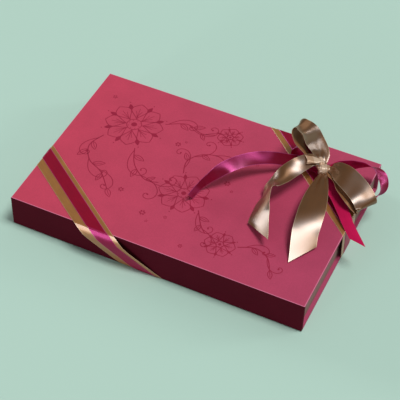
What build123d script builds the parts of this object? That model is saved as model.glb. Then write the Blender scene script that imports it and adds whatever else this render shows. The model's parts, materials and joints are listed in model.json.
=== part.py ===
"""Ribboned gift box of chocolates.

A book-style case (bottom, spine, lid and front flap, all paper over greyboard) stands round a
paper-covered tray. The lid turns up about its crease at the top of the spine, and the flap turns out
about its crease at the lid's front edge, where two pairs of discs hold it to the tray. The tray holds a
formed insert with one praline in each cup. A wide gold ribbon and a narrow burgundy ribbon run together
slantwise round two corners and end in a bow on the lid. Each ribbon is parted where it passes from one
moving panel to the next.

Axes: X along the case, Y from the flap to the spine, Z up. The origin is the middle of the case's
underside. Millimetres.
"""
import os
from math import atan2, cos, pi, radians, sin, sqrt

from build123d import *

# Case
case_length = 300.0
case_depth = 200.0
case_height = 35.0
greyboard = 2.0
wrap_paper = 0.25
turn_in = 8.0
crease_radius = 0.8
end_edge_radius = 0.5
board_setback = 3.0
flap_foot_gap = 0.4
flap_play = 0.4

# Tray
end_lip = 3.5
tray_front_play = 0.5
tray_top_play = 0.4
tray_board_thickness = 1.5
tray_paper = 0.2

# Closing discs
disc_diameter = 12.0
disc_thickness = 1.0
disc_from_end = 62.0
disc_height = 17.0

# Insert and its cups
insert_play = 0.5
insert_sheet = 0.6
insert_deck_drop = 3.6
cup_columns = 8
cup_rows = 5
cup_depth = 18.5
cup_size = 31.5
cup_corner = 5.0
cup_draft_angle = 5.0
cup_mouth_round = 1.2

# Pralines
praline_size = 26.0
praline_height = 18.0
praline_seat = 0.05
praline_base_height = 3.0

# Pad under the lid
pad_thickness = 2.2
pad_play = 1.2
pad_edge_radius = 1.0

# Ribbons
gold_width = 25.0
burgundy_width = 12.5
ribbon_thickness = 0.35
ribbon_stand_off = 0.3
ribbon_crease_gap = 1.5
ribbon_bed = 0.05
front_band_shift = 2.4
rear_band_shift = 0.7

# Where the middle of the gold ribbon crosses each edge of the case: on the ends and the front from the
# middle of that edge, on the back from its right end
left_top_crossing = -35.4
left_bottom_crossing = -11.0
front_top_crossing = -62.0
front_bottom_crossing = -12.0
right_top_crossing = 10.8
right_bottom_crossing = 13.0
back_top_from_right = 99.3
back_bottom_from_right = 141.0

# Bow
knot_from_right = 46.0
knot_y = 57.0
bow_reach = 100.0
bow_ribbon_thickness = 0.5
knot_length = 14.0
knot_breadth = 11.0
knot_rise = 12.5
steps_between_stations = 4

# Worked out
panel = greyboard + 2 * wrap_paper
half_length = case_length / 2
half_depth = case_depth / 2
back_top_crossing = half_length - back_top_from_right
back_bottom_crossing = half_length - back_bottom_from_right
knot_x = half_length - knot_from_right
tray_wall = tray_board_thickness + 2 * tray_paper
tray_half_length = half_length - end_lip
tray_front = -half_depth + panel + tray_front_play
tray_back = half_depth - panel
tray_top = case_height - panel - tray_top_play
tray_floor = panel + tray_board_thickness + tray_paper
insert_half_length = tray_half_length - tray_wall - insert_play
insert_front = tray_front + tray_wall + insert_play
insert_back = tray_back - tray_wall - insert_play
deck_top = tray_top - insert_deck_drop
cup_floor = deck_top - cup_depth + insert_sheet
ribbon_stack = 2 * ribbon_thickness


def block(x_range, y_range, z_range):
    """A box between the two ends of each range."""
    size = [high - low for low, high in (x_range, y_range, z_range)]
    middle = [(low + high) / 2 for low, high in (x_range, y_range, z_range)]
    return Pos(*middle) * Box(*size)


def both_ways(reach):
    return -reach, reach


def largest(shape):
    """The biggest solid of a cut piece."""
    return max(shape.solids(), key=lambda solid: solid.volume)


def along_case(outline):
    """Extrudes an outline drawn in Y and Z over the whole length of the case."""
    face = make_face(outline)
    return extrude(Plane.YZ.offset(-half_length) * face, amount=case_length)


def crease_middle(side):
    """The point half way round the rounded top edge at the front (-1) or the back (1)."""
    set_in = crease_radius * (1 - sqrt(1 / 2))
    return side * (half_depth - set_in), case_height - set_in


def crease_centre(side):
    return side * (half_depth - crease_radius), case_height - crease_radius


def mitre_root(side):
    return side * (half_depth - panel), case_height - panel


def lid_panel():
    """The lid's full thickness, mitred at both creases."""
    front, back = crease_centre(-1), crease_centre(1)
    outline = [
        Line(mitre_root(-1), crease_middle(-1)),
        CenterArc(front, crease_radius, 135, -45),
        Line((front[0], case_height), (back[0], case_height)),
        CenterArc(back, crease_radius, 90, -45),
        Line(crease_middle(1), mitre_root(1)),
        Line(mitre_root(1), mitre_root(-1)),
    ]
    solid = along_case(outline)
    top_ends = solid.edges().filter_by(Axis.Y).group_by(Axis.Z)[-1]
    return fillet(top_ends, end_edge_radius)


def flap_panel():
    """The flap's full thickness, mitred at the crease it shares with the lid."""
    outer, inner = -half_depth, -half_depth + panel
    outline = [
        Line(mitre_root(-1), crease_middle(-1)),
        CenterArc(crease_centre(-1), crease_radius, 135, 45),
        Line((outer, case_height - crease_radius), (outer, flap_foot_gap)),
        Line((outer, flap_foot_gap), (inner, flap_foot_gap)),
        Line((inner, flap_foot_gap), mitre_root(-1)),
    ]
    return along_case(outline)


def base_panel():
    """The bottom and the spine, which stay with the tray."""
    front = -half_depth + panel + flap_play
    foot_centre = half_depth - crease_radius, crease_radius
    outline = [
        Line((front, 0), (foot_centre[0], 0)),
        CenterArc(foot_centre, crease_radius, -90, 90),
        Line((half_depth, crease_radius), (half_depth, case_height - crease_radius)),
        CenterArc(crease_centre(1), crease_radius, 0, 45),
        Line(crease_middle(1), mitre_root(1)),
        Line(mitre_root(1), (half_depth - panel, panel)),
        Line((half_depth - panel, panel), (front, panel)),
        Line((front, panel), (front, 0)),
    ]
    return along_case(outline)


def make_lid():
    """Greyboard core, outer paper and lining of the lid."""
    under = case_height - panel
    board = block(
        both_ways(half_length - wrap_paper),
        both_ways(half_depth - board_setback),
        (under + wrap_paper, case_height - wrap_paper),
    )
    lining = block(
        both_ways(half_length - turn_in), both_ways(half_depth - turn_in), (under, under + wrap_paper)
    )
    return {"lid_board": board, "lid_lining": lining, "lid_wrap": lid_panel() - board - lining}


def disc_places():
    return [-half_length + disc_from_end, half_length - disc_from_end]


def closing_discs(y_low):
    """Two discs on edge, from y_low to the disc's thickness behind it."""
    disc = Cylinder(disc_diameter / 2, disc_thickness, rotation=(90, 0, 0))
    middle_y = y_low + disc_thickness / 2
    return [Pos(x, middle_y, disc_height) * disc for x in disc_places()]


def make_flap():
    """Core, outer paper, lining and sunk discs of the flap."""
    inner = -half_depth + panel
    core_y = (-half_depth + wrap_paper, inner - wrap_paper)
    discs = closing_discs(core_y[1] - disc_thickness)
    board = block(
        both_ways(half_length - wrap_paper),
        core_y,
        (flap_foot_gap + wrap_paper, case_height - board_setback),
    )
    lining = block(
        both_ways(half_length - turn_in),
        (inner - wrap_paper, inner),
        (flap_foot_gap + turn_in, case_height - turn_in),
    )
    return {
        "flap_wrap": flap_panel() - board - lining,
        "flap_board": board - discs,
        "flap_lining": lining,
        "flap_discs": Compound(children=discs),
    }


def make_base():
    """Cores, outer paper and lining of the bottom and the spine."""
    front = -half_depth + panel + flap_play
    spine = half_depth - panel
    bottom_board = block(
        both_ways(half_length - wrap_paper),
        (front + wrap_paper, half_depth - board_setback),
        (wrap_paper, panel - wrap_paper),
    )
    spine_board = block(
        both_ways(half_length - wrap_paper),
        (spine + wrap_paper, half_depth - wrap_paper),
        (board_setback, case_height - board_setback),
    )
    across = both_ways(half_length - turn_in)
    bottom_lining = block(across, (front + turn_in, spine - turn_in), (panel - wrap_paper, panel))
    spine_lining = block(
        across, (spine, spine + wrap_paper), (panel + turn_in, case_height - turn_in)
    )
    wrap = base_panel() - bottom_board - spine_board - bottom_lining - spine_lining
    return {
        "bottom_board": bottom_board,
        "spine_board": spine_board,
        "bottom_lining": bottom_lining,
        "spine_lining": spine_lining,
        "base_wrap": wrap,
    }


def open_tray(inset, wall, floor_top):
    """A tray without a lid, set in from the tray's outside by inset."""
    outside = block(
        both_ways(tray_half_length - inset), (tray_front + inset, tray_back - inset), (panel, tray_top - inset)
    )
    clear = inset + wall
    hollow = block(
        both_ways(tray_half_length - clear), (tray_front + clear, tray_back - clear), (floor_top, case_height)
    )
    return outside - hollow


def make_tray():
    """The tray's board, its paper and the discs in its front wall."""
    board_whole = open_tray(tray_paper, tray_board_thickness, panel + tray_board_thickness)
    discs = closing_discs(tray_front + tray_paper)
    whole = open_tray(0, tray_wall, tray_floor)
    return {
        "tray_board": board_whole - discs,
        "tray_wrap": whole - board_whole,
        "tray_discs": Compound(children=discs),
    }


def cup_places():
    """The column, the row, and the middle in X and Y of each cup."""
    pitch_x = 2 * insert_half_length / cup_columns
    pitch_y = (insert_back - insert_front) / cup_rows
    places = []
    for row in range(cup_rows):
        for column in range(cup_columns):
            x = -insert_half_length + pitch_x * (column + 0.5)
            y = insert_front + pitch_y * (row + 0.5)
            places.append((column, row, x, y))
    return places


def praline_kind(column, row):
    """Which of the five kinds lies in a cup, so that each kind runs slantwise through the insert."""
    return (column + 2 * row) % len(praline_makers)


def cup_outline(column, row, grow):
    """The mouth of a cup: rounded square for the square pralines, round for the others."""
    size = cup_size + 2 * grow
    if praline_makers[praline_kind(column, row)] is square_praline:
        return RectangleRounded(size, size, cup_corner + grow)
    return Circle(size / 2)


def make_insert():
    """The formed sheet: a deck with a skirt down to the tray's floor and a cup for each praline."""
    x_range = both_ways(insert_half_length)
    outside = block(x_range, (insert_front, insert_back), (tray_floor, deck_top))
    hollow = block(
        both_ways(insert_half_length - insert_sheet),
        (insert_front + insert_sheet, insert_back - insert_sheet),
        (tray_floor, deck_top - insert_sheet),
    )
    shells, pockets = [], []
    for column, row, x, y in cup_places():
        at_deck = Pos(x, y, deck_top)
        shell = extrude(cup_outline(column, row, insert_sheet), amount=-cup_depth, taper=cup_draft_angle)
        pocket_depth = cup_depth - insert_sheet
        pocket = extrude(cup_outline(column, row, 0), amount=-pocket_depth, taper=cup_draft_angle)
        mouth = extrude(cup_outline(column, row, cup_mouth_round / 2), amount=-cup_mouth_round, taper=45)
        shells.append(at_deck * shell)
        pockets.append(at_deck * pocket)
        pockets.append(at_deck * mouth)
    return (outside - hollow + shells) - pockets


def revolved(outline):
    """Turns an outline, drawn in X and Z from the axis outwards, about Z."""
    return revolve(Plane.XZ * make_face(outline), Axis.Z)


def dome_praline():
    """A round base under a half ball."""
    radius = praline_size / 2
    shoulder = praline_height - radius
    outline = [
        Line((0, 0), (radius, 0)),
        Line((radius, 0), (radius, shoulder)),
        CenterArc((0, shoulder), radius, 0, 90),
        Line((0, praline_height), (0, 0)),
    ]
    return revolved(outline)


def truffle():
    """A ball cut flat where it stands."""
    radius = praline_height / 2 + praline_base_height / 2
    foot = praline_height - 2 * radius
    ball = Pos(0, 0, praline_height - radius) * Sphere(radius)
    return ball - block(both_ways(radius), both_ways(radius), (foot, 0))


def square_praline():
    """A square block with a raised, drawn-in top."""
    side = praline_size * 0.9
    corner = side / 8
    body_height = praline_height - praline_base_height
    body = extrude(RectangleRounded(side, side, corner), amount=body_height, taper=4)
    top_side = side * 0.72
    top = extrude(RectangleRounded(top_side, top_side, corner), amount=praline_base_height, taper=30)
    return body + Pos(0, 0, body_height) * top


def oval_praline():
    """An oval with a rounded upper edge."""
    body = extrude(Ellipse(praline_size / 2, praline_size * 0.38), amount=praline_height, taper=3)
    return fillet(body.edges().group_by(Axis.Z)[-1], praline_size / 6)


def fluted_praline():
    """A fluted cup with a low round top."""
    flutes = 12
    ring = praline_size * 0.38
    flute_radius = ring * sin(pi / flutes) * 1.25
    outline = Circle(ring) + PolarLocations(ring, flutes) * Circle(flute_radius)
    wall = extrude(outline, amount=praline_height - praline_base_height)
    ball_radius = (ring**2 + praline_base_height**2) / (2 * praline_base_height)
    ball = Pos(0, 0, praline_height - ball_radius) * Sphere(ball_radius)
    cap = ball & block(
        both_ways(ring), both_ways(ring), (praline_height - praline_base_height, praline_height)
    )
    return wall + cap


praline_makers = [dome_praline, square_praline, truffle, oval_praline, fluted_praline]
praline_nodes = ["dome_pralines", "square_pralines", "truffles", "oval_pralines", "fluted_pralines"]


def make_pralines():
    """One praline in each cup, each kind in a node of its own."""
    groups = {name: [] for name in praline_nodes}
    shapes = [make() for make in praline_makers]
    for column, row, x, y in cup_places():
        kind = praline_kind(column, row)
        groups[praline_nodes[kind]].append(Pos(x, y, cup_floor + praline_seat) * shapes[kind])
    return {name: Compound(children=solids) for name, solids in groups.items()}


def make_pad():
    """The padded sheet glued under the lid, inside the tray's walls."""
    under = case_height - panel
    clear = tray_wall + pad_play
    x_reach = tray_half_length - clear
    y_range = (tray_front + clear, tray_back - clear)
    pad = block(both_ways(x_reach), y_range, (under - pad_thickness, under))
    return fillet(pad.edges().group_by(Axis.Z)[0], pad_edge_radius)


def on_edge(start, end, width):
    """Half the length that a ribbon of this width covers along an edge that runs in the second axis."""
    run, rise = end[0] - start[0], end[1] - start[1]
    return width / 2 / abs(cos(atan2(rise, run)))


def across_edge(start, end, width):
    """The same along an edge that runs in the first axis."""
    run, rise = end[0] - start[0], end[1] - start[1]
    return width / 2 / abs(sin(atan2(rise, run)))


def slab(plane, corners, low, high):
    """A flat sheet with these corners in the plane, from low to high above it."""
    face = make_face(Polyline(*corners, close=True))
    return extrude(plane.offset(low) * face, amount=high - low)


def band_crossings(width, front_shift, rear_shift):
    """Both ends of the ribbon's crossing of each edge: (low, high) along that edge.

    The shifts move the ribbon's middle, square to its run, towards the middle of the lid."""
    lid_front = ((-half_length, left_top_crossing), (front_top_crossing, -half_depth))
    lid_rear = ((back_top_crossing, half_depth), (half_length, right_top_crossing))
    under_front = ((front_bottom_crossing, -half_depth), (half_length, right_bottom_crossing))
    under_rear = ((-half_length, left_bottom_crossing), (back_bottom_crossing, half_depth))

    def span(middle, half, gold_half, shift, towards):
        """Shares the shift between edges in the ratio of half length to half width."""
        slide = towards * shift * gold_half / (gold_width / 2)
        return middle + slide - half, middle + slide + half

    def crossing(stretch, middle, measure, shift, towards):
        half, gold_half = measure(*stretch, width), measure(*stretch, gold_width)
        return span(middle, half, gold_half, shift, towards)

    return {
        "left_top": crossing(lid_front, left_top_crossing, on_edge, front_shift, 1),
        "front_top": crossing(lid_front, front_top_crossing, across_edge, front_shift, 1),
        "back_top": crossing(lid_rear, back_top_crossing, across_edge, rear_shift, -1),
        "right_top": crossing(lid_rear, right_top_crossing, on_edge, rear_shift, -1),
        "front_bottom": crossing(under_front, front_bottom_crossing, across_edge, front_shift, 1),
        "right_bottom": crossing(under_front, right_bottom_crossing, on_edge, rear_shift, -1),
        "left_bottom": crossing(under_rear, left_bottom_crossing, on_edge, front_shift, 1),
        "back_bottom": crossing(under_rear, back_bottom_crossing, across_edge, rear_shift, -1),
    }


def part_way(first, second, share):
    return tuple(a + (b - a) * share for a, b in zip(first, second))


def make_bands(colour, width, layer, front_shift, rear_shift):
    """The flat stretches of one ribbon. Layer 0 lies on the case and layer 1 on the other ribbon.

    Under the case, where its weight presses on them, both are sunk by the depth of the bed."""
    cross = band_crossings(width, front_shift, rear_shift)
    low, high = layer * ribbon_thickness, (layer + 1) * ribbon_thickness
    under_low, under_high = low - ribbon_bed, high - ribbon_bed
    gap_share = ribbon_crease_gap / case_height
    end_low, end_high = ribbon_stand_off + low, ribbon_stand_off + high
    outer_end = half_length + end_high
    top = Plane.XY.offset(case_height)
    under = Plane((0, 0, 0), x_dir=(1, 0, 0), z_dir=(0, 0, -1))
    front = Plane((0, -half_depth, 0), x_dir=(1, 0, 0), z_dir=(0, -1, 0))
    back = Plane((0, half_depth, 0), x_dir=(-1, 0, 0), z_dir=(0, 1, 0))
    left = Plane((-half_length, 0, 0), x_dir=(0, -1, 0), z_dir=(-1, 0, 0))
    right = Plane((half_length, 0, 0), x_dir=(0, 1, 0), z_dir=(1, 0, 0))

    front_y, back_y = -half_depth + ribbon_crease_gap, half_depth - ribbon_crease_gap
    slide_front = ribbon_crease_gap * (front_top_crossing + half_length) / (half_depth + left_top_crossing)
    slide_back = ribbon_crease_gap * (half_length - back_top_crossing) / (half_depth - right_top_crossing)
    lid_front = [
        (-half_length, cross["left_top"][0]),
        (cross["front_top"][0] - slide_front, front_y),
        (cross["front_top"][1] - slide_front, front_y),
        (-half_length, cross["left_top"][1]),
    ]
    lid_rear = [
        (cross["back_top"][0] + slide_back, back_y),
        (cross["back_top"][1] + slide_back, back_y),
        (half_length, cross["right_top"][1]),
        (half_length, cross["right_top"][0]),
    ]
    flap_top = part_way(cross["front_top"], cross["front_bottom"], gap_share)
    flap = [
        (flap_top[0], case_height - ribbon_crease_gap),
        (flap_top[1], case_height - ribbon_crease_gap),
        (cross["front_bottom"][1], flap_foot_gap),
        (cross["front_bottom"][0], flap_foot_gap),
    ]
    spine_top = part_way(cross["back_top"], cross["back_bottom"], gap_share)
    spine = [
        (-spine_top[0], case_height - ribbon_crease_gap),
        (-spine_top[1], case_height - ribbon_crease_gap),
        (-cross["back_bottom"][1], -under_high),
        (-cross["back_bottom"][0], -under_high),
    ]
    # The two end stretches stand on the ribbon that runs under the case
    left_end = [
        (-cross["left_top"][0], case_height),
        (-cross["left_top"][1], case_height),
        (-cross["left_bottom"][1], -under_low),
        (-cross["left_bottom"][0], -under_low),
    ]
    right_end = [
        (cross["right_top"][0], case_height),
        (cross["right_top"][1], case_height),
        (cross["right_bottom"][1], -under_low),
        (cross["right_bottom"][0], -under_low),
    ]
    under_front = [
        (cross["front_bottom"][0], half_depth),
        (cross["front_bottom"][1], half_depth),
        (outer_end, -cross["right_bottom"][0]),
        (outer_end, -cross["right_bottom"][1]),
    ]
    under_rear = [
        (-outer_end, -cross["left_bottom"][0]),
        (-outer_end, -cross["left_bottom"][1]),
        (cross["back_bottom"][0], -half_depth - low),
        (cross["back_bottom"][1], -half_depth - low),
    ]
    sheets = {
        "lid_front": slab(top, lid_front, low, high),
        "lid_rear": slab(top, lid_rear, low, high),
        "flap": slab(front, flap, low, high),
        "spine": slab(back, spine, low, high),
        "left_end": slab(left, left_end, end_low, end_high),
        "right_end": slab(right, right_end, end_low, end_high),
        "under_front": slab(under, under_front, under_low, under_high),
        "under_rear": slab(under, under_rear, under_low, under_high),
    }
    return {f"{colour}_band_{place}": sheet for place, sheet in sheets.items()}


# Stations of each free stretch of ribbon in the bow. Each gives the middle of the ribbon from the knot's
# foot on the lid, as shares of the bow's reach, then the direction across the ribbon, and last the share
# of the full width that shows there, because the ribbon is drawn together at the knot.
gold_loop_back_shares = [
    (0.00, 0.01, 0.095, 0.45, 0.85, -0.25, 0.30),
    (-0.02, 0.04, 0.115, 0.45, 0.85, -0.25, 0.34),
    (-0.07, 0.10, 0.22, 0.40, 0.90, -0.27, 0.80),
    (-0.15, 0.12, 0.35, 0.28, 0.93, -0.23, 1.0),
    (-0.25, 0.14, 0.435, 0.12, 0.96, -0.26, 1.0),
    (-0.33, 0.15, 0.435, 0.00, 0.95, -0.31, 1.0),
    (-0.36, 0.13, 0.37, -0.05, 0.94, -0.33, 1.0),
    (-0.29, 0.11, 0.27, -0.05, 0.94, -0.33, 1.0),
    (-0.17, 0.09, 0.16, 0.05, 0.95, -0.30, 0.7),
    (-0.05, 0.05, 0.085, 0.30, 0.93, -0.20, 0.34),
    (0.00, 0.02, 0.065, 0.30, 0.93, -0.20, 0.30),
]
gold_loop_right_shares = [
    (0.01, 0.02, 0.10, 0.35, 0.75, 0.50, 0.30),
    (0.05, 0.02, 0.13, 0.35, 0.75, 0.50, 0.34),
    (0.14, -0.03, 0.21, 0.20, 0.90, 0.30, 0.62),
    (0.27, -0.115, 0.245, 0.30, 0.92, 0.20, 0.93),
    (0.42, -0.195, 0.22, 0.46, 0.88, 0.12, 0.98),
    (0.52, -0.245, 0.165, 0.54, 0.84, 0.08, 0.96),
    (0.55, -0.265, 0.105, 0.54, 0.84, 0.05, 0.95),
    (0.51, -0.245, 0.07, 0.54, 0.84, 0.02, 0.96),
    (0.38, -0.17, 0.065, 0.50, 0.86, 0.02, 0.95),
    (0.21, -0.07, 0.07, 0.35, 0.92, 0.10, 0.62),
    (0.07, 0.01, 0.08, 0.30, 0.85, 0.30, 0.34),
    (0.02, 0.01, 0.065, 0.30, 0.85, 0.30, 0.30),
]
gold_tail_left_shares = [
    (-0.01, 0.02, 0.09, 0.53, -0.84, 0.10, 0.30),
    (-0.05, 0.02, 0.13, 0.53, -0.84, 0.10, 0.34),
    (-0.10, -0.05, 0.185, 0.52, -0.85, 0.08, 0.62),
    (-0.17, -0.18, 0.26, 0.50, -0.87, 0.03, 1.0),
    (-0.23, -0.32, 0.28, 0.50, -0.87, 0.0, 1.0),
    (-0.28, -0.45, 0.27, 0.45, -0.88, 0.17, 1.0),
    (-0.32, -0.54, 0.235, 0.33, -0.84, 0.42, 1.0),
    (-0.33, -0.61, 0.19, 0.38, -0.62, 0.69, 1.0),
    (-0.33, -0.70, 0.145, 0.58, -0.47, 0.66, 1.0),
    (-0.31, -0.81, 0.105, 0.76, -0.35, 0.54, 1.0),
    (-0.275, -0.915, 0.085, 0.87, -0.28, 0.38, 0.94),
]
gold_tail_front_shares = [
    (0.01, 0.00, 0.08, 0.93, 0.35, -0.05, 0.24),
    (0.03, -0.05, 0.12, 0.93, 0.35, -0.05, 0.26),
    (0.06, -0.20, 0.165, 0.94, 0.32, -0.09, 0.52),
    (0.09, -0.39, 0.185, 0.95, 0.28, -0.12, 0.85),
    (0.12, -0.56, 0.175, 0.95, 0.27, -0.13, 1.0),
    (0.14, -0.70, 0.135, 0.95, 0.27, -0.13, 1.0),
    (0.16, -0.84, 0.09, 0.95, 0.27, -0.13, 1.0),
    (0.195, -0.96, 0.055, 0.95, 0.27, -0.13, 1.0),
]
burgundy_loop_back_shares = [
    (-0.02, 0.03, 0.08, 0.45, 0.85, 0.1, 0.5),
    (-0.07, 0.07, 0.10, 0.45, 0.85, 0.1, 0.7),
    (-0.15, 0.10, 0.16, 0.40, 0.87, 0.1, 1.0),
    (-0.22, 0.12, 0.205, 0.30, 0.92, 0.1, 1.0),
    (-0.29, 0.11, 0.22, 0.20, 0.95, 0.0, 1.0),
    (-0.33, 0.09, 0.18, 0.15, 0.95, 0.0, 1.0),
    (-0.32, 0.08, 0.115, 0.15, 0.95, 0.0, 1.0),
    (-0.25, 0.08, 0.07, 0.25, 0.95, 0.0, 1.0),
    (-0.14, 0.06, 0.045, 0.30, 0.92, 0.0, 0.8),
    (-0.04, 0.02, 0.035, 0.30, 0.92, 0.0, 0.5),
]
burgundy_loop_right_shares = [
    (0.02, 0.01, 0.10, -0.39, 0.05, 0.92, 0.4),
    (0.07, 0.03, 0.125, -0.39, 0.05, 0.92, 0.6),
    (0.15, 0.06, 0.16, -0.37, -0.01, 0.93, 1.0),
    (0.24, 0.09, 0.19, -0.33, -0.10, 0.94, 1.0),
    (0.32, 0.12, 0.205, -0.23, -0.35, 0.91, 1.0),
    (0.40, 0.14, 0.21, -0.23, -0.58, 0.78, 1.0),
    (0.49, 0.14, 0.20, -0.27, -0.64, 0.72, 1.0),
    (0.57, 0.10, 0.17, -0.30, -0.69, 0.66, 1.0),
    (0.61, 0.04, 0.125, -0.28, -0.75, 0.58, 1.0),
    (0.60, -0.03, 0.075, -0.15, -0.85, 0.45, 1.0),
    (0.54, -0.09, 0.036, 0.10, -0.95, 0.25, 1.0),
    (0.43, -0.11, 0.022, 0.15, -0.97, 0.0, 1.0),
    (0.26, -0.08, 0.024, 0.15, -0.97, 0.0, 1.0),
    (0.11, -0.03, 0.05, 0.20, -0.90, 0.2, 0.6),
    (0.04, -0.02, 0.05, 0.20, -0.90, 0.2, 0.5),
]
burgundy_tail_left_shares = [
    (-0.02, 0.02, 0.08, -0.60, 0.50, 0.64, 0.5),
    (-0.09, 0.05, 0.11, -0.60, 0.50, 0.64, 0.7),
    (-0.19, 0.00, 0.135, -0.45, 0.60, 0.68, 1.0),
    (-0.31, -0.09, 0.175, -0.41, 0.60, 0.68, 1.0),
    (-0.45, -0.16, 0.20, -0.45, 0.58, 0.68, 1.0),
    (-0.59, -0.25, 0.21, -0.50, 0.55, 0.67, 1.0),
    (-0.71, -0.36, 0.20, -0.54, 0.43, 0.72, 1.0),
    (-0.82, -0.48, 0.17, -0.48, 0.05, 0.86, 1.0),
    (-0.91, -0.60, 0.13, -0.30, -0.38, 0.86, 1.0),
    (-0.97, -0.72, 0.09, -0.22, -0.50, 0.82, 1.0),
    (-1.00, -0.84, 0.06, -0.22, -0.52, 0.82, 0.8),
]
burgundy_tail_front_shares = [
    (0.03, -0.03, 0.065, 0.76, 0.61, 0.20, 0.4),
    (0.08, -0.09, 0.08, 0.76, 0.61, 0.20, 0.5),
    (0.16, -0.18, 0.095, 0.82, 0.55, 0.16, 1.0),
    (0.26, -0.28, 0.095, 0.82, 0.55, 0.16, 1.0),
    (0.37, -0.405, 0.08, 0.82, 0.55, 0.16, 0.95),
    (0.465, -0.515, 0.05, 0.84, 0.50, 0.20, 0.86),
    (0.555, -0.585, 0.0, 0.84, 0.48, 0.24, 0.78),
]
# How far each tail's slanting end runs on past its last station, at the ribbon's low and high side
tail_cut_shares = {
    "gold_tail_left": (-0.05, 0.20),
    "gold_tail_front": (0.18, -0.02),
    "burgundy_tail_left": (0.0, 0.03),
    "burgundy_tail_front": (0.0, 0.14),
}
bow_pieces = {
    "gold_loop_back": (gold_width, gold_loop_back_shares),
    "gold_loop_right": (gold_width, gold_loop_right_shares),
    "gold_tail_left": (gold_width, gold_tail_left_shares),
    "gold_tail_front": (gold_width, gold_tail_front_shares),
    "burgundy_loop_back": (burgundy_width, burgundy_loop_back_shares),
    "burgundy_loop_right": (burgundy_width, burgundy_loop_right_shares),
    "burgundy_tail_left": (burgundy_width, burgundy_tail_left_shares),
    "burgundy_tail_front": (burgundy_width, burgundy_tail_front_shares),
}


def smooth(rows, steps):
    """Runs a smooth curve through rows of numbers, with steps points to each span."""
    ends = [rows[0]] + rows + [rows[-1]]
    points = []
    for before, start, end, after in zip(ends, ends[1:], ends[2:], ends[3:]):
        for step in range(steps):
            t = step / steps
            weights = (
                (-t**3 + 2 * t**2 - t) / 2,
                (3 * t**3 - 5 * t**2 + 2) / 2,
                (-3 * t**3 + 4 * t**2 + t) / 2,
                (t**3 - t**2) / 2,
            )
            spans = zip(before, start, end, after)
            points.append([sum(w * v for w, v in zip(weights, values)) for values in spans])
    points.append(list(rows[-1]))
    return points


def bow_strip(name, width, shares):
    """A free stretch of ribbon: thin slices lofted along the curve through its stations."""
    foot = Vector(knot_x, knot_y, case_height)
    rows = smooth(shares, steps_between_stations)
    middles = [foot + Vector(*row[:3]) * bow_reach for row in rows]
    cut = [share * bow_reach for share in tail_cut_shares.get(name, (0, 0))]
    last = len(rows) - 1
    slices = []
    for index, (middle, row) in enumerate(zip(middles, rows)):
        ahead = middles[min(index + 1, last)]
        behind = middles[max(index - 1, 0)]
        run = (ahead - behind).normalized()
        across = Vector(*row[3:6])
        across = (across - run * across.dot(run)).normalized()
        face_out = run.cross(across) * (bow_ribbon_thickness / 2)
        half = across * (width * row[6] / 2)
        into_last_span = max(0, index - last + steps_between_stations) / steps_between_stations
        low_side = middle - half + run * (cut[0] * into_last_span)
        high_side = middle + half + run * (cut[1] * into_last_span)
        corners = [low_side - face_out, high_side - face_out, high_side + face_out, low_side + face_out]
        slices.append(Wire.make_polygon(corners))
    return Solid.make_loft(slices, ruled=True)


def make_knot():
    """The gathered lumps where the gold ribbon is tied."""
    foot = case_height + ribbon_stack
    middle = foot + knot_rise * 0.4
    barrel = scale(Sphere(0.5), by=(knot_length, knot_breadth, knot_rise))
    fold = scale(Sphere(0.5), by=(knot_length * 0.6, knot_breadth * 1.25, knot_rise * 0.6))
    turned_fold = Rot(0, 0, -35) * fold
    lump = Pos(knot_x, knot_y, middle) * barrel
    lump += Pos(knot_x + knot_length / 5, knot_y - knot_breadth / 6, middle) * turned_fold
    lump += Pos(knot_x - knot_length / 5, knot_y + knot_breadth / 8, middle + knot_rise / 8) * turned_fold
    floor = block(both_ways(case_length), both_ways(case_depth), (0, foot))
    return largest(lump - floor)


def make_bow():
    """The knot, and each loop and tail cut back to it and to the pieces before it."""
    knot = make_knot()
    bow = {"gold_knot": knot}
    for name, (width, shares) in bow_pieces.items():
        strip = bow_strip(name, width, shares)
        for placed in bow.values():
            strip = largest(strip - placed)
        bow[name] = strip
    return bow


def main():
    parts = {}
    parts.update(make_base())
    parts.update(make_lid())
    parts.update(make_flap())
    parts.update(make_tray())
    parts["praline_insert"] = make_insert()
    parts.update(make_pralines())
    parts["lid_pad"] = make_pad()
    parts.update(make_bands("gold", gold_width, 0, 0, 0))
    parts.update(make_bands("burgundy", burgundy_width, 1, front_band_shift, rear_band_shift))
    # The tight ribbon beds itself into the paper of the underside
    for place in ("under_front", "under_rear"):
        parts["base_wrap"] -= parts[f"gold_band_{place}"]
    parts.update(make_bow())
    os.makedirs("parts", exist_ok=True)
    for name, shape in parts.items():
        export_step(shape, f"parts/{name}.step")


main()
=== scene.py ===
import json
import math

import bmesh
import bpy
from mathutils import Matrix, Vector


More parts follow.
